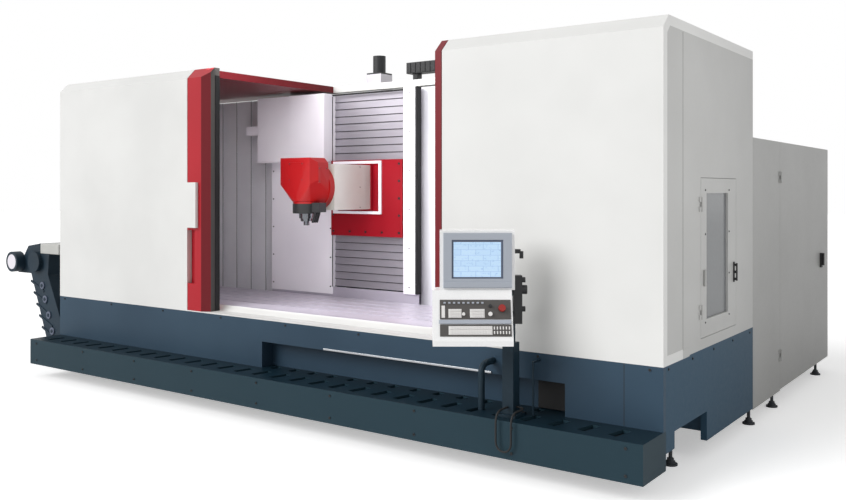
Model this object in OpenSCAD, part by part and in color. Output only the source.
// Travelling-column machining centre with a horizontal ram and a vertical spindle head,
// standing on levelling feet. X runs along the machine, Y from front to back, Z up.
// The modules draw from the right front corner of the covers, and on_floor_centre()
// then moves the whole machine so that its origin is on the floor, under its middle.

/* [Covers] */
// Length of the white covers, from end to end
cover_w = 5900; // [5600:50:6400]
// Depth of the white covers
cover_d = 1780; // [1740:10:1900]
// Height of the covers' lower edge above the floor
cover_z = 720; // [700:5:740]
// Height of the covers themselves
cover_h = 2000; // [1960:10:2200]
// Thickness of a cover panel with its frame
cover_t = 60; // [40:5:70]
// Chamfer along the top front edge
chamfer = 80; // [50:5:110]
// Length of the front cover at the right
right_cover_w = 1515; // [1450:5:1600]
// Length of the front cover at the left
left_cover_w = 1825; // [1780:5:1900]
// How far the left roof reaches over the opening
roof_reach = 120; // [60:10:200]

/* [Front doors] */
// Width of the red closing edge of the left door
left_edge_w = 240; // [180:5:280]
// Width of the right door's closing edge that shows beside its cover
right_edge_show = 56; // [30:2:100]
// Whole width of the right door's closing edge
right_edge_w = 170; // [120:5:200]
// Depth of the closing edges behind the front plane
edge_d = 134; // [110:2:150]
// Thickness of a door leaf
leaf_t = 40; // [25:1:45]
// Space between the right leaf's end and the end cover when the doors stand open
right_leaf_gap = 280; // [100:5:300]
// Space between the left leaf's end and the end cover when the doors stand open
left_leaf_gap = 590; // [100:5:610]
// Share of the left closing edge's front that lies flat, before its fold
edge_flat = 0.7; // [0.4:0.02:0.8]
// How far the fold leads back at the opening
edge_fold = 40; // [20:5:60]
// Height of the handle block's lower end above the floor
handle_z = 1404; // [1200:10:1500]
// Length of the handle block
handle_h = 373; // [250:5:450]

/* [Base] */
// Gap between the floor and the base plates
ground_gap = 120; // [90:5:150]
// Thickness of the skirt plates
skirt_t = 40; // [20:2:50]
// Depth of the step in front of the covers
step_d = 300; // [250:10:350]
// Height of the step's tread above the floor
step_z = 345; // [320:5:380]
// Spacing of the slots in the tread
slot_pitch = 190; // [150:5:260]
// Length of a slot, across the tread
slot_l = 150; // [90:5:170]
// Width of a slot, along the tread
slot_w = 56; // [30:2:80]
// Distance of the toe recess from the right end
recess_x = 614; // [560:5:700]
// Length of the toe recess
recess_w = 2585; // [2300:5:2700]
// Height of the toe recess above the tread
recess_h = 200; // [160:5:240]
// Depth of the toe recess
recess_d = 120; // [90:5:140]
// Diameter of a levelling pad
pad_dia = 170; // [120:5:220]
// Thickness of a levelling pad
pad_h = 25; // [15:1:35]
// Diameter of a levelling screw
screw_dia = 48; // [30:1:60]

/* [Work area] */
// Height of the steel floor of the work area
floor_z = 650; // [630:5:680]
// Depth of the sill inside the front plane
sill_d = 420; // [380:10:450]
// Length of the table
table_w = 4880; // [4400:20:5000]
// Depth of the table
table_d = 800; // [700:10:860]
// Height of the table's top above the floor of the hall
table_z = 740; // [720:5:780]
// Number of T-slots
tee_count = 5; // [3:1:7]
// Width of a T-slot's mouth
tee_w = 22; // [14:1:28]

/* [Column] */
// Left edge of the white column shield, from the right end of the covers
shield_x = 4600; // [4500:10:4700]
// Width of the column shield
shield_w = 805; // [780:5:820]
// Width of the slatted covers beside the shield
slat_w = 846; // [830:2:860]
// Plane of the column shield's front, behind the machine's front
shield_y = 1500; // [1480:5:1510]
// Number of slats above the saddle
upper_slats_n = 8; // [4:1:12]
// Number of slats below the saddle
lower_slats_n = 7; // [4:1:12]
// Depth of the column behind its shield
column_d = 840; // [700:10:900]

/* [Saddle and ram] */
// Height of the ram's axis above the floor
ram_z = 1740; // [1700:5:1780]
// Side of the square ram
ram_s = 400; // [340:5:410]
// Length of the ram
ram_l = 1650; // [1500:10:1750]
// Front end of the ram, behind the machine's front
ram_y = 950; // [930:5:980]
// Running clearance of the ram in its guide, each side
ram_gap = 0.5; // [0.3:0.1:0.9]
// Height of the saddle plate
saddle_h = 700; // [660:5:720]

/* [Spindle head] */
// Depth of the head along the ram
head_d = 250; // [220:5:270]
// Height of the head above the ram's axis
head_up = 250; // [210:5:270]
// Diameter of the spindle barrel
barrel_dia = 230; // [180:5:260]
// Diameter of the spindle nose
nose_dia = 128; // [100:2:150]
// Diameter of the cutter
cutter_dia = 50; // [20:2:80]

/* [Side door and cabinet] */
// Front edge of the side door, behind the machine's front
side_door_y = 640; // [560:10:700]
// Width of the side door
side_door_w = 730; // [640:10:800]
// Height of the side door
side_door_h = 1000; // [900:10:1100]
// Gap round an inset door
door_gap = 3; // [2:0.5:5]
// Depth of the cabinet along the machine's length
cabinet_d = 600; // [500:10:640]
// Length of the cabinet, behind the covers
cabinet_w = 2517; // [2300:10:2700]
// Height of the cabinet's top above the floor
cabinet_z = 2097; // [1900:10:2300]
// Width of the cabinet's fixed panel, next to the covers
cabinet_fixed_w = 758; // [700:10:820]

/* [Control unit] */
// Distance of the control unit's post from the right end
post_x = 903; // [850:5:960]
// Distance of the post in front of the covers
post_y = 150; // [140:5:170]
// Side of the square post
post_s = 76; // [60:2:84]
// Turn of the control unit, away from facing straight forward
pendant_turn = 35.6; // [20:1:50]
// Width of the screen housing
screen_box_w = 438; // [400:2:460]
// Width of the keyboard console
console_w = 464; // [440:2:480]
// Height of the console's lower edge above the floor
console_z = 819; // [790:1:840]
// Height of the console
console_h = 311; // [290:1:340]
// Height of the screen housing
screen_box_h = 348; // [320:2:380]

/* [Chip conveyor] */
// Width of the conveyor
conveyor_w = 440; // [360:10:480]
// Front side of the conveyor, behind the machine's front
conveyor_y = 60; // [60:5:100]
// Height of the conveyor's drive shaft above the floor
drum_z = 1010; // [960:10:1060]
// Radius of the drive housing
drum_r = 180; // [150:5:200]

/* [Hidden] */

$fn = 48;
slip = 0.3;        // gap at a sliding or rotating seat
clear = 5;         // gap between a moving piece and what it passes
eps = 1;           // how far a cut runs past the face it opens

top_z = cover_z + cover_h;
roof_z = top_z - cover_t;
left_x = -cover_w;
open_right = -right_cover_w;
open_left = left_x + left_cover_w;
inner_left = left_x + cover_t;
inner_right = -cover_t;

// Front doors: each closes to the middle of the clear opening
left_edge_x1 = open_left + clear + left_edge_w;
right_edge_x0 = open_right - right_edge_show;
door_travel = (right_edge_x0 - left_edge_x1) / 2 - clear;
door_y = cover_t + clear;
leaf_top = top_z - chamfer - 2 * clear - (cover_t - 20);
grip_z0 = handle_z - 460;            // lower end of the grip slot

// Base
plate_z = 8;                         // thickness of the sill's front plate
skirt_top = cover_z - plate_z;
bed_y = recess_d + 30;
bed_z = 180;                         // underside of the bed castings
bed_back = 1700;
arch_y0 = 178;                       // arch in the side skirts, behind their corner leg
arch_y1 = 753;
arch_z = 315;
rear_bed_d = 1700;
rear_y = bed_back + rear_bed_d;
front_foot_y = 567;
rear_foot_pitch = 1500;
rail_h = 45;
rail_w = 90;
rail_ys = [bed_back + 260, rear_y - 330];

// Column and what it carries
shield_left = -shield_x;
shield_right = shield_left + shield_w;
slat_left = shield_right + 4;
slat_right = slat_left + slat_w;
trim_w = 130;
shield_t = 60;
shield_back = shield_y + shield_t;
shield_z0 = cover_z + 10;
shield_z1 = roof_z - 50;
column_y = shield_back + 95;
column_left = shield_left + 100;
column_right = slat_right + 90;
column_z0 = cover_z + rail_h + slip;
column_z1 = roof_z - 20;
ram_x = slat_left + 300;             // axis of the ram
slot_half = ram_s / 2 + 100;         // half of the column's window
slot_z0 = column_z0 + 135;
slot_z1 = column_z1 - 200;
saddle_z0 = ram_z - saddle_h * 0.643;
saddle_z1 = saddle_z0 + saddle_h;
boss_y = shield_y - 60;
saddle_y = shield_y - 30;
arm_x = shield_left - 270;           // end of the arm at the tool changer's cover
arm_z = (saddle_z1 + shield_z1) / 2 - 40;
arm_h = 90;

// Head
head_y = ram_y - slip;
barrel_y = head_y - head_d * 0.55;
barrel_z0 = ram_z - 225;
nose_z0 = barrel_z0 - 45;
tool_z0 = nose_z0 - 60;

// Cabinet
cabinet_y = cover_d + 2;
cabinet_back = cabinet_y + cabinet_w;
cabinet_split = cabinet_y + cabinet_fixed_w;
cabinet_t = 40;

// Control unit, drawn about its post with its face towards -Y
console_out = 330;                   // reach of the console in front of the post
screen_out = 210;                    // reach of the screen housing
box_back = post_s * 0.72 + clear;    // back of the housings
console_r = -16;                     // right side of the console from the post
console_tilt_y = screen_out + 5;
wheel_r = 27;

// Middle of the machine, for the origin
trough_z0 = 150;                     // underside of the conveyor's trough
trough_z1 = 420;                     // top of the trough where it leaves the bed
rise_x = left_x - 260;               // where the conveyor begins to rise
head_x0 = left_x - 590;              // far side of the risen end
head_x1 = left_x - 300;
head_z = 890;                        // top of the risen end, under the drive housing
drum_x = left_x - 490;
motor_x = drum_x - 300;
conveyor_end = motor_x - 100;
grip_out = 60;                       // reach of the door handles
min_y = -post_y - console_out * cos(pendant_turn) - (console_w - console_r) * sin(pendant_turn);
mid_x = (conveyor_end + grip_out) / 2;
mid_y = (min_y + cabinet_back) / 2;

// Moves the machine so that its origin is on the floor under its middle
module on_floor_centre() translate([-mid_x, -mid_y, 0]) children();

// A box between two corners
module block(x0, x1, y0, y1, z0, z1) translate([x0, y0, z0]) cube([x1 - x0, y1 - y0, z1 - z0]);

// An outline in Y and Z, drawn out from x0 to x1
module along_x(x0, x1, points)
    translate([x0, 0, 0]) rotate([90, 0, 90]) linear_extrude(height = x1 - x0) polygon(points);

// An outline in X and Z, drawn out from y0 to y1
module along_y(y0, y1, points)
    translate([0, y1, 0]) rotate([90, 0, 0]) linear_extrude(height = y1 - y0) polygon(points);

// A round bar along Y
module bar_y(x, z, y0, y1, r) translate([x, y0, z]) rotate([-90, 0, 0]) cylinder(h = y1 - y0, r = r);

// Base

module bed_base() color("#34465a") on_floor_centre()
    difference() {
        block(left_x + skirt_t, -skirt_t, bed_y, bed_back, bed_z, floor_z - 10);
        block(-350, 0, bed_y - eps, arch_y1 + 20, bed_z - eps, arch_z + 5);
    }

module rear_bed() color("#34465a") on_floor_centre()
    along_x(left_x + skirt_t, -cabinet_d - cover_t,
        [[bed_back, bed_z], [rear_y, bed_z], [rear_y, cover_z - 120], [rear_y - 90, cover_z],
         [bed_back, cover_z]]);

module bed_rails() color("#b9bcc0") on_floor_centre()
    for (y = rail_ys) block(left_x + 200, -cabinet_d - 250, y, y + rail_w, cover_z, cover_z + rail_h);

module front_skirt() color("#34465a") on_floor_centre()
    difference() {
        block(left_x, 0, 0, skirt_t, step_z, skirt_top);
        block(-recess_x - recess_w, -recess_x, -eps, skirt_t + eps, step_z - eps, step_z + recess_h);
    }

// The toe recess: its back, its ends and its ceiling
module recess_panel() color("#2b3b4d") on_floor_centre()
    difference() {
        block(-recess_x - recess_w - 25, -recess_x + 25, skirt_t, bed_y, step_z, step_z + recess_h + 25);
        block(-recess_x - recess_w, -recess_x, skirt_t - eps, recess_d, step_z - eps, step_z + recess_h);
    }

// A side plate with its raised corner leg and the arch behind it
module side_skirt(x0) along_x(x0, x0 + skirt_t,
    [[skirt_t, skirt_top], [skirt_t, 215], [arch_y0, 215], [arch_y0, arch_z], [arch_y1, arch_z],
     [arch_y1, ground_gap + 9], [cover_d, ground_gap + 9], [cover_d, cover_z], [sill_d, cover_z],
     [sill_d, skirt_top]]);

module right_skirt() color("#34465a") on_floor_centre() side_skirt(-skirt_t);

module left_skirt() color("#34465a") on_floor_centre() side_skirt(left_x);

// The step: a folded tread on a front plate, open underneath, with a row of slots,
// and a second row inside the toe recess
module front_step() color("#34465a") on_floor_centre()
    difference() {
        union() {
            block(left_x, 0, -step_d, skirt_t, ground_gap, step_z);
            block(-recess_x - recess_w, -recess_x, skirt_t - eps, bed_y, step_z - 30, step_z);
        }
        block(left_x + 20, -20, -step_d + 20, skirt_t - 20, ground_gap - eps, step_z - 20);
        block(-recess_x - recess_w + 20, -recess_x - 20, -20, bed_y - 20, step_z - 31, step_z - 20);
        for (x = [left_x + slot_pitch : slot_pitch : -slot_pitch / 2]) slot(x, -step_d / 2);
        for (x = [-recess_x - recess_w + slot_pitch / 2 : slot_pitch : -recess_x - slot_pitch / 2])
            slot(x, 55, 0.5);
    }

// One slanted slot through the tread
module slot(x, y, share = 1)
    translate([x, y, step_z - 25]) rotate([0, 0, -12])
        translate([-slot_w / 2, -slot_l * share / 2, 0]) cube([slot_w, slot_l * share, 30]);

module foot(x, y, z1) translate([x, y, 0]) {
    cylinder(h = pad_h, r = pad_dia / 2);
    cylinder(h = z1, r = screw_dia / 2);
    translate([0, 0, pad_h]) cylinder(h = 18, r = screw_dia * 0.9, $fn = 6);
}

module levelling_feet() color("#3a3d42") on_floor_centre() {
    for (i = [0 : 4], y = [front_foot_y, bed_back - 160])
        foot(-160 + i * (left_x + 320) / 4, y, i == 0 && y < arch_y1 ? arch_z + 5 : bed_z);
    for (i = [0 : 3]) foot(left_x + 300 + i * rear_foot_pitch, rear_y - 160, bed_z);
    for (x = [-90, -cabinet_d + 90], y = [cabinet_y + 70, cabinet_split, cabinet_back - 320])
        foot(x, y, ground_gap);
}

// Work area

module work_floor() color("#a9a4b2") on_floor_centre()
    block(inner_left, inner_right, sill_d - 20, bed_back, floor_z - 10, floor_z);

module machine_table() color("#b2abb8") on_floor_centre() {
    x0 = -(cover_w + table_w) / 2;
    y0 = sill_d + 60;
    pitch = table_d / tee_count;
    difference() {
        block(x0, x0 + table_w, y0, y0 + table_d, floor_z, table_z);
        for (i = [0 : tee_count - 1]) {
            y = y0 + pitch * (i + 0.5);
            block(x0 - eps, x0 + table_w + eps, y - tee_w / 2, y + tee_w / 2, table_z - 40, table_z + eps);
            block(x0 - eps, x0 + table_w + eps, y - tee_w, y + tee_w, table_z - 40, table_z - 22);
        }
    }
}

module front_sill() color("#ececf2") on_floor_centre() {
    along_x(left_x, 0,
        [[0, skirt_top], [0, cover_z], [edge_d + 10, cover_z], [edge_d + 55, cover_z + 40],
         [sill_d, cover_z + 40], [sill_d, skirt_top]]);
    block(left_x + skirt_t, -skirt_t, sill_d - 20, sill_d, floor_z, skirt_top + eps);
}

// White covers

// One leaf and barrel of a butt hinge on an outer face at X = 0, with its pin over the edge
// of a door whose front edge is at y. The door has the middle part, the frame the outer two.
hinge_r = 7;
module hinge_part(y, z0, z1, dir) {
    translate([hinge_r + 1, y, z0]) cylinder(h = z1 - z0, r = hinge_r);
    block(0, 6, dir > 0 ? y + 1.6 : y - 38, dir > 0 ? y + 38 : y - 1.6, z0, z1);
}
module hinges(y, z0, h, on_door)
    for (z = [z0 + h * 0.12, z0 + h * 0.88 - 90])
        if (on_door) hinge_part(y - door_gap / 2, z + 30 + slip, z + 60 - slip, 1);
        else {
            hinge_part(y - door_gap / 2, z, z + 30, -1);
            hinge_part(y - door_gap / 2, z + 60, z + 90, -1);
        }

// Front cover with the chamfered top edge and a lip that meets the roof
module front_cover(x0, x1) along_x(x0, x1,
    [[0, cover_z], [0, top_z - chamfer], [chamfer, top_z], [chamfer + cover_t, top_z],
     [chamfer + cover_t, roof_z], [chamfer + cover_t * 0.41, roof_z], [cover_t, top_z - chamfer - cover_t * 0.41],
     [cover_t, cover_z]]);

module left_front_cover() color("#e8e8e6") on_floor_centre() front_cover(left_x, open_left);

module right_front_cover() color("#e8e8e6") on_floor_centre() front_cover(open_right, 0);

module end_cover(x0) difference() {
    along_x(x0, x0 + cover_t,
        [[cover_t, cover_z], [cover_t, top_z - chamfer - cover_t * 0.41],
         [chamfer + cover_t * 0.41, roof_z], [cover_d, roof_z], [cover_d, cover_z]]);
    block(x0 - eps, x0 + cover_t + eps, cover_t - eps, sill_d, cover_z - eps, cover_z + 40);
}

module left_end_cover() color("#e8e8e6") on_floor_centre() end_cover(left_x);

door_z0 = cover_z + 70;
door_z1 = door_z0 + side_door_h;
door_y1 = side_door_y + side_door_w;

module right_end_cover() color("#dcdcda") on_floor_centre() {
    hinges(side_door_y, door_z0, side_door_h, false);
    difference() {
        end_cover(-cover_t);
        block(-cover_t / 3 * 2, eps, side_door_y - door_gap, door_y1 + door_gap,
            door_z0 - door_gap, door_z1 + door_gap);
        block(-cover_t - eps, 0, side_door_y + 30, door_y1 - 30, door_z0 + 30, door_z1 - 30);
    }
}

module left_roof() color("#7d1622") on_floor_centre()
    block(left_x, open_left + roof_reach, chamfer + cover_t, cover_d, roof_z, top_z);

module right_roof() color("#e8e8e6") on_floor_centre()
    block(open_right, 0, chamfer + cover_t, cover_d, roof_z, top_z);

// Beam that joins the two roofs over the back of the opening
module top_beam() color("#e8e8e6") on_floor_centre()
    block(open_left + roof_reach, open_right, cover_d - 90, cover_d, roof_z, top_z);

// Way cover of vertical plates, each one sheet in front of the next
module plate_stack(x0, x1, n) {
    w = (x1 - x0) / n;
    for (i = [0 : n - 1])
        block(x0 + i * w - (i > 0 ? 25 : 0), x0 + (i + 1) * w, shield_back + 10 + i * 12,
            shield_back + 24 + i * 12, floor_z, roof_z - 30);
    block(x0, x0 + 30, shield_back + 10, shield_back + 12 * n + 12, floor_z, roof_z - 30);
}

module x_cover_left() color("#8f8c94") on_floor_centre() plate_stack(inner_left, shield_left + 40, 4);

module x_cover_right() color("#a7a2ae") on_floor_centre()
    mirror([1, 0, 0]) plate_stack(-inner_right, -(slat_right + trim_w - 20), 5);

// Rear guard: the left side and the back of the column's travel
module rear_guard() color("#d9d9d6") on_floor_centre() {
    block(left_x, left_x + cover_t, cover_d, rear_y, cover_z, cabinet_z);
    block(left_x, -cabinet_d, rear_y, rear_y + cover_t, ground_gap + 60, cabinet_z);
}

// Electrical cabinet: an open shell with a fixed panel and a door frame on its outer side
module cabinet_body() color("#b4b4b1") on_floor_centre() {
    hinges(cabinet_split + door_gap, ground_gap, cabinet_z - ground_gap, false);
    difference() {
        block(-cabinet_d, 0, cabinet_y, cabinet_back, ground_gap, cabinet_z);
        block(-cabinet_d + cabinet_t, -2 * cabinet_t, cabinet_y + cabinet_t, cabinet_back - cabinet_t,
            ground_gap + cabinet_t, cabinet_z - cabinet_t);
        block(-cabinet_t, eps, cabinet_split, cabinet_back + eps, ground_gap - eps, cabinet_z + eps);
        block(-2 * cabinet_t - eps, eps, cabinet_split + cabinet_t, cabinet_back - 2 * cabinet_t,
            ground_gap + 2 * cabinet_t, cabinet_z - 2 * cabinet_t);
    }
}

// Chip conveyor

module conveyor_body() color("#1f2d3a") on_floor_centre()
    along_y(conveyor_y, conveyor_y + conveyor_w,
        [[left_x, trough_z0], [rise_x, trough_z0], [rise_x - 70, trough_z0 + 140], [head_x0, head_z],
         [head_x1, head_z], [left_x - 60, trough_z1], [left_x, trough_z1]]);

// Drive housing with the discharge chute, the gear motor and the shaft bearing
module conveyor_head() color("#1b2733") on_floor_centre() {
    x = drum_x;
    along_y(conveyor_y, conveyor_y + conveyor_w,
        [[head_x0, head_z], [x - 330, head_z], [x - 330, head_z + 40], [x - 150, drum_z + 150],
         [x + 60, drum_z + 180], [x + 210, drum_z + 100], [head_x1, head_z]]);
    bar_y(x, drum_z, conveyor_y - 40, conveyor_y + eps, drum_r * 0.55);
    bar_y(motor_x, drum_z - 10, conveyor_y - 90, conveyor_y + 0.1, motor_x - conveyor_end);
    bar_y(x, drum_z, conveyor_y + conveyor_w - eps, conveyor_y + conveyor_w + 60, drum_r * 0.4);
}

// Column, travelling along X on the rear bed

module column() color("#c9cacc") on_floor_centre()
    difference() {
        union() {
            block(column_left, column_right, column_y, column_y + column_d, slot_z0, column_z1);
            block(column_left - 60, column_right + 60, rail_ys[0] - 60, rail_ys[1] + rail_w + 60,
                column_z0, slot_z0);
            for (x = [column_left + 60, column_right - 160])
                along_x(x, x + 100,
                    [[column_y + column_d - eps, slot_z0 - eps], [rail_ys[1] + rail_w, slot_z0 - eps],
                     [column_y + column_d - eps, slot_z0 + 900]]);
            block(column_left, column_right, column_y, rail_ys[0], column_z0 + 40, slot_z0 + eps);
        }
        block(ram_x - slot_half, ram_x + slot_half, column_y - eps, column_y + column_d + eps,
            slot_z0, slot_z1);
    }

// White shield at the left of the slats, and the white edge with its black seal at their right
module column_shield() color("#dedbe0") on_floor_centre() {
    block(shield_left, shield_right, shield_y, shield_back, shield_z0, shield_z1);
    block(shield_left + 100, shield_right, shield_back - eps, column_y, shield_z0 + 80, shield_z0 + 140);
    block(shield_left + 100, shield_right - 110, shield_back - eps, column_y, shield_z1 - 140, shield_z1 - 80);
    block(slat_right, slat_right + trim_w, shield_y - 20, shield_back, shield_z0 + 60, shield_z1 + 20);
    block(slat_right, slat_right + 80, shield_back - eps, column_y, shield_z1 - 140, shield_z1 - 80);
}

// Cover of the tool changer, on the front of the shield
module magazine_cover() color("#e4e2e8") on_floor_centre() {
    x1 = shield_right - 3;
    difference() {
        block(shield_left - 100, x1, shield_y - 120, shield_y, saddle_z1 - 7, shield_z1 + 10);
        block(shield_left - 101, shield_left + 350, shield_y - 121, shield_y - 100, saddle_z1, shield_z1 + 11);
    }
    block(arm_x, shield_left - 99, shield_y - 90, shield_y - 30, arm_z, arm_z + arm_h);
}

module z_motor() color("#17191c") on_floor_centre() {
    x = ram_x - 300;
    y = column_y + 550;
    translate([x, y, column_z1]) {
        translate([-90, -90, 0]) cube([180, 180, 250]);
        translate([0, 0, 249]) cylinder(h = 175, r = 64);
    }
}

// Cable duct over the column, on two brackets
module cable_duct() color("#1c1e21") on_floor_centre() {
    y = column_y + 550;
    block(ram_x + 85, column_right + 260, y - 60, y + 60, top_z + 132, top_z + 240);
    for (x = [ram_x + 150, column_right - 120])
        block(x, x + 50, y - 40, y + 40, column_z1, top_z + 133);
}

// Slatted cover: sheets that lap over each other, each with a folded lower lip
module slat_stack(z0, z1, n) {
    h = (z1 - z0) / n;
    for (i = [0 : n - 1])
        along_x(slat_left, slat_right,
            [[shield_y + 22, z0 + i * h], [shield_y + 38, z0 + (i + 1) * h], [shield_y + 52, z0 + (i + 1) * h],
             [shield_y + 52, z0 + i * h]]);
}

module upper_slats() color("#96919a") on_floor_centre()
    slat_stack(saddle_z1 + slip, shield_z1, upper_slats_n);

module lower_slats() color("#7f7a83") on_floor_centre()
    slat_stack(shield_z0 + 75, saddle_z0 - slip, lower_slats_n);

// Saddle: the red front plate, the low boss round the ram, and the block that slides in the column
module saddle() color("#c4152a") on_floor_centre()
    difference() {
        union() {
            block(slat_left + 3, slat_right - 6, saddle_y, shield_back + 40, saddle_z0, saddle_z1);
            block(ram_x - ram_s / 2 - 10, ram_x + ram_s / 2 + 10, boss_y, saddle_y + eps,
                ram_z - ram_s / 2 - 10, ram_z + ram_s / 2 + 10);
            block(ram_x - slot_half - 100, ram_x + slot_half + 100, shield_back + 39, column_y - slip,
                ram_z - 350, ram_z + 350);
            block(ram_x - slot_half + 10, ram_x + slot_half - 10, column_y - slip - eps, column_y + 640,
                ram_z - 300, ram_z + 300);
        }
        block(ram_x - ram_s / 2 - ram_gap, ram_x + ram_s / 2 + ram_gap, boss_y - eps, column_y + 641,
            ram_z - ram_s / 2 - ram_gap, ram_z + ram_s / 2 + ram_gap);
    }

// White frame on the saddle, round the boss
module ram_frame() color("#e8e8ea") on_floor_centre()
    difference() {
        block(ram_x - 260, ram_x + ram_s / 2 + 110, saddle_y - 16, saddle_y, ram_z - 245, ram_z + 240);
        block(ram_x - ram_s / 2 - 11, ram_x + ram_s / 2 + 84, saddle_y - 17, saddle_y + eps,
            ram_z - ram_s / 2 - 20, ram_z + ram_s / 2 + 16);
    }

module ram() color("#b9bab8") on_floor_centre()
    block(ram_x - ram_s / 2, ram_x + ram_s / 2, ram_y, ram_y + ram_l, ram_z - ram_s / 2, ram_z + ram_s / 2);

// Head: a red housing on the round flange at the ram, with the spindle barrel below it
module head_body() color("#c81414") on_floor_centre()
    difference() {
        union() {
            bar_y(ram_x, ram_z, head_y - 60, head_y, ram_s / 2 + 5);
            hull() {
                bar_y(ram_x, ram_z, head_y - 62, head_y - 59, ram_s / 2 - 5);
                block(ram_x - ram_s / 2 - 45, ram_x + ram_s / 2 - 20, head_y - head_d + 60, head_y - 60,
                    ram_z + 60, ram_z + head_up - 40);
                block(ram_x - ram_s / 2, ram_x + ram_s / 2 - 60, head_y - head_d, head_y - 60,
                    ram_z + 20, ram_z + head_up);
                translate([ram_x, barrel_y, barrel_z0 + 105]) cylinder(h = 60, r = barrel_dia / 2 + 10, $fn = 32);
            }
            translate([ram_x, barrel_y, barrel_z0]) cylinder(h = 140, r = barrel_dia / 2);
        }
        translate([ram_x, barrel_y, barrel_z0 - eps]) cylinder(h = 90, r = nose_dia / 2 + slip);
    }

// Coolant block at the side of the barrel with its nozzles
module coolant_nozzles() color("#1d1f22") on_floor_centre() {
    x = ram_x + barrel_dia / 2 + 10;
    block(x + slip, x + 85, barrel_y - 70, barrel_y + 20, barrel_z0 + 10, barrel_z0 + 90);
    for (dy = [-52, -25, 2])
        translate([x + 26, barrel_y + dy, barrel_z0 + 12]) rotate([0, 200, 0]) cylinder(h = 95, r = 10);
}

module spindle() color("#c4c6ca") on_floor_centre()
    translate([ram_x, barrel_y, 0]) {
        translate([0, 0, nose_z0]) cylinder(h = barrel_z0 - nose_z0 + 88, r = nose_dia / 2);
        translate([0, 0, nose_z0 - 25]) cylinder(h = 26, r = nose_dia * 0.39);
        translate([0, 0, tool_z0]) cylinder(h = nose_z0 - 24 - tool_z0, r = cutter_dia / 2);
    }

// Front doors

module left_door_leaf() color("#dedede") on_floor_centre()
    block(inner_left + left_leaf_gap, open_left + clear, door_y, door_y + leaf_t,
        cover_z + slip, leaf_top);

// Closing edge of the left door, with the upright grip slot under the handle
module left_door_edge() color("#be2834") on_floor_centre()
    difference() {
        intersection() {
            along_x(open_left + clear, left_edge_x1,
                [[0, cover_z + slip], [0, top_z - chamfer], [chamfer, top_z], [edge_d, top_z],
                 [edge_d, cover_z + slip]]);
            linear_extrude(height = top_z + eps)
                polygon([[open_left, -eps], [open_left + clear + left_edge_w * edge_flat, -eps],
                    [open_left + clear + left_edge_w * edge_flat, 0], [left_edge_x1, edge_fold],
                    [left_edge_x1 + eps, edge_fold], [left_edge_x1 + eps, edge_d + eps],
                    [open_left, edge_d + eps]]);
        }
        block(open_left + clear - eps, open_left + clear + 90, -eps, 45, grip_z0, handle_z - 20);
        block(open_left + clear - eps, open_left + clear + 130, -eps, 20, handle_z, handle_z + handle_h);
    }

module left_door_handle() color("#ededed") on_floor_centre()
    block(open_left + clear, open_left + clear + 130, -28, 20, handle_z, handle_z + handle_h);

module right_door_leaf() color("#dedede") on_floor_centre()
    block(right_edge_x0 + right_edge_w, inner_right - right_leaf_gap, door_y, door_y + leaf_t,
        cover_z + slip, leaf_top);

// Closing edge of the right door: its front stands beside the cover, the rest behind it
module right_door_edge() color("#8e1a28") on_floor_centre() {
    along_x(right_edge_x0, open_right - clear,
        [[0, cover_z + slip], [0, top_z - chamfer], [chamfer, top_z], [edge_d, top_z], [edge_d, cover_z + slip]]);
    block(open_right - clear - eps, right_edge_x0 + right_edge_w, door_y, edge_d, cover_z + slip, leaf_top);
}

// Side door with its window and handle

module side_door() color("#dcdcda") on_floor_centre() {
    hinges(side_door_y, door_z0, side_door_h, true);
    difference() {
        block(-cover_t / 3 * 2 + door_gap, 0, side_door_y, door_y1, door_z0, door_z1);
        block(-cover_t, eps, side_door_y + 107, door_y1 - 180, door_z0 + 110, door_z1 - 95);
    }
}

module side_window() color("#8b8d8c") on_floor_centre()
    block(-22, -14, side_door_y + 107, door_y1 - 180, door_z0 + 110, door_z1 - 95);

module side_handle() color("#1b1b1d") on_floor_centre() {
    z = door_z0 + 298;
    block(0, 18, door_y1 - 80, door_y1 - 30, z, z + 137);
    block(17, grip_out, door_y1 - 68, door_y1 - 42, z + 20, z + 40);
    block(17, grip_out, door_y1 - 68, door_y1 - 42, z + 97, z + 117);
    block(grip_out - 20, grip_out, door_y1 - 68, door_y1 - 42, z, z + 137);
}

module cabinet_door() color("#b0b0ad") on_floor_centre() {
    hinges(cabinet_split + door_gap, ground_gap, cabinet_z - ground_gap, true);
    block(-cabinet_t + slip, 0, cabinet_split + door_gap, cabinet_back, ground_gap + 10, cabinet_z);
}

module cabinet_lock() color("#1b1b1d") on_floor_centre() {
    y = cabinet_back - 335;
    block(0, 16, y, y + 50, ground_gap + 880, ground_gap + 1012);
    block(15, 34, y + 12, y + 38, ground_gap + 900, ground_gap + 1012);
}

// Control unit

// Places what is drawn about the post, with its face towards -Y
module at_post() translate([-post_x, -post_y, 0]) rotate([0, 0, pendant_turn]) children();

module pendant_post() color("#4b627b") on_floor_centre() {
    translate([-post_x, -post_y, 0]) {
        translate([-post_s / 2, -post_s / 2, step_z + 12]) cube([post_s, post_s, console_z - step_z - 42]);
        translate([-post_s * 0.9, -post_s * 0.9, step_z]) cube([post_s * 1.8, post_s * 1.8, 13]);
        translate([0, 0, console_z - 31]) cylinder(h = 331, r = post_s * 0.36);
    }
}

module pendant_box() color("#f2f2f2") on_floor_centre() at_post() {
    x0 = 3 - screen_box_w;
    z0 = console_z + console_h;
    block(x0, 3, -screen_out, -box_back, z0, z0 + screen_box_h);
}

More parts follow.
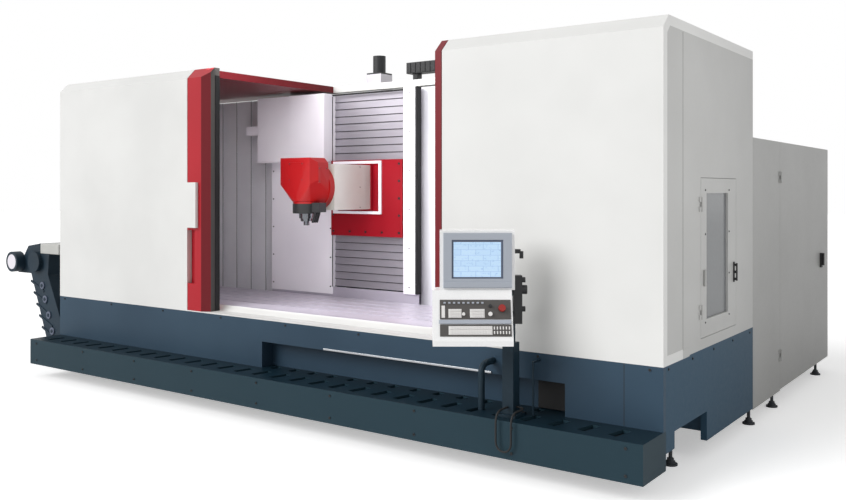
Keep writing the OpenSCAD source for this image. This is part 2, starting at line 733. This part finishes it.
// Bezel with the screen set back in it
module pendant_screen() color("#aab0b9") on_floor_centre() at_post() {
    z0 = console_z + console_h + 12;
    difference() {
        block(-screen_box_w + 22, -16, -screen_out - 14, -screen_out, z0, z0 + screen_box_h - 26);
        block(-screen_box_w + 70, -66, -screen_out - 15, -screen_out - 6, z0 + 55, z0 + screen_box_h - 66);
    }
}

// Console with the sleeve at its back that turns on the post
module pendant_console() color("#f2f2f2") on_floor_centre() at_post() {
    z0 = console_z + console_h - 145;
    along_x(console_r - console_w, console_r,
        [[-box_back, console_z], [-console_out, console_z], [-console_out, console_z + 30],
         [-console_tilt_y, console_z + console_h], [-box_back, console_z + console_h]]);
    difference() {
        union() {
            translate([0, 0, z0]) cylinder(h = 90, r = post_s * 0.36 + 22);
            block(-40, 40, -box_back - eps, -post_s * 0.36 - 8, z0, z0 + 90);
        }
        translate([0, 0, z0 - eps]) cylinder(h = 92, r = post_s * 0.36 + slip);
    }
}

// Hand unit at the right side of the housing: a tall box with three knobs, and a hook above it
module handwheel() color("#1d1e20") on_floor_centre() at_post() {
    y = -box_back - 75;
    z = console_z + 105;
    block(3, 51, y - 35, y + 35, z, z + 285);
    translate([50, y, z + 200]) rotate([0, 90, 0]) cylinder(h = 32, r = wheel_r);
    for (dz = [85, 258])
        translate([50, y, z + dz]) rotate([0, 90, 0]) cylinder(h = 22, r = wheel_r * 0.6);
    block(3, 44, y - 10, y + 10, z + 415, z + 440);
    block(38, 60, y - 10, y + 10, z + 385, z + 428);
}

// Elbow pipe out of the skirt and a thin pipe beside the post
module coolant_pipe() color("#22303d") on_floor_centre() {
    x = -post_x - 215;
    bar_y(x, step_z + 285, -post_y + 66, 0, 21);
    translate([x, -post_y + 66, step_z + 225]) rotate([90, 0, 90]) rotate([0, 0, 90]) rotate_extrude(angle = 90)
        translate([60, 0]) circle(r = 21);
    translate([x, -post_y + 6, step_z]) cylinder(h = 225, r = 21);
    translate([-post_x + 120, -post_y + 60, step_z]) cylinder(h = 330, r = 7);
    bar_y(-post_x + 120, step_z + 324, -post_y + 60, 0, 6);
}

// Cable that hangs in a loop over the edge of the step. Points are from the right front corner.
cable_r = 6;
cable_route = [
    [-903, -188, 400], [-903, -230, 400], [-903, -270, 400], [-903, -293, 395.4], [-903, -312.4, 382.4],
    [-903, -325.4, 363], [-903, -330, 340], [-903, -330, 280], [-903, -330, 222], [-899, -330, 202],
    [-887.8, -330, 185.2], [-871, -330, 174], [-851, -330, 170], [-831, -330, 174], [-814.2, -330, 185.2],
    [-803, -330, 202], [-799, -330, 222], [-799, -330, 280], [-799, -330, 340], [-799, -325.4, 363],
    [-799, -312.4, 382.4], [-799, -293, 395.4], [-799, -270, 400], [-799, -235, 400], [-799, -200, 400],
    [-802.8, -181, 400], [-813.6, -164.6, 400], [-830, -153.8, 400], [-849, -150, 400], [-865, -150, 400]];

// A round tube swept through points, one ring at each point. No stretch of the route runs
// along the vector that each ring is turned from.
module tube(points, r, sides) {
    n = len(points);
    function dir(i) = let (d = points[min(i + 1, n - 1)] - points[max(i - 1, 0)]) d / norm(d);
    function side(i) = let (s = cross(dir(i), [-1, -1, 1])) s / norm(s);
    function ring(i) = let (a = side(i), b = cross(dir(i), a))
        [for (k = [0 : sides - 1]) points[i] + r * (a * cos(360 * k / sides) + b * sin(360 * k / sides))];
    polyhedron(
        points = [for (i = [0 : n - 1]) each ring(i)],
        faces = concat(
            [[for (k = [0 : sides - 1]) k]],
            [[for (k = [sides - 1 : -1 : 0]) (n - 1) * sides + k]],
            [for (i = [0 : n - 2], k = [0 : sides - 1])
                [i * sides + k, (i + 1) * sides + k, (i + 1) * sides + (k + 1) % sides, i * sides + (k + 1) % sides]]));
}

module post_cable() color("#1a1a1c") on_floor_centre() tube(cable_route, cable_r, 8);

bed_base();
rear_bed();
bed_rails();
front_skirt();
recess_panel();
right_skirt();
left_skirt();
front_step();
levelling_feet();
work_floor();
machine_table();
front_sill();
left_front_cover();
left_end_cover();
left_roof();
right_front_cover();
right_end_cover();
right_roof();
top_beam();
x_cover_left();
x_cover_right();
rear_guard();
cabinet_body();
conveyor_body();
conveyor_head();
pendant_post();
coolant_pipe();
post_cable();
column();
column_shield();
magazine_cover();
z_motor();
cable_duct();
upper_slats();
lower_slats();
saddle();
ram_frame();
ram();
head_body();
coolant_nozzles();
spindle();
left_door_leaf();
left_door_edge();
left_door_handle();
right_door_leaf();
right_door_edge();
side_door();
side_window();
side_handle();
cabinet_door();
cabinet_lock();
pendant_box();
pendant_screen();
pendant_console();
handwheel();
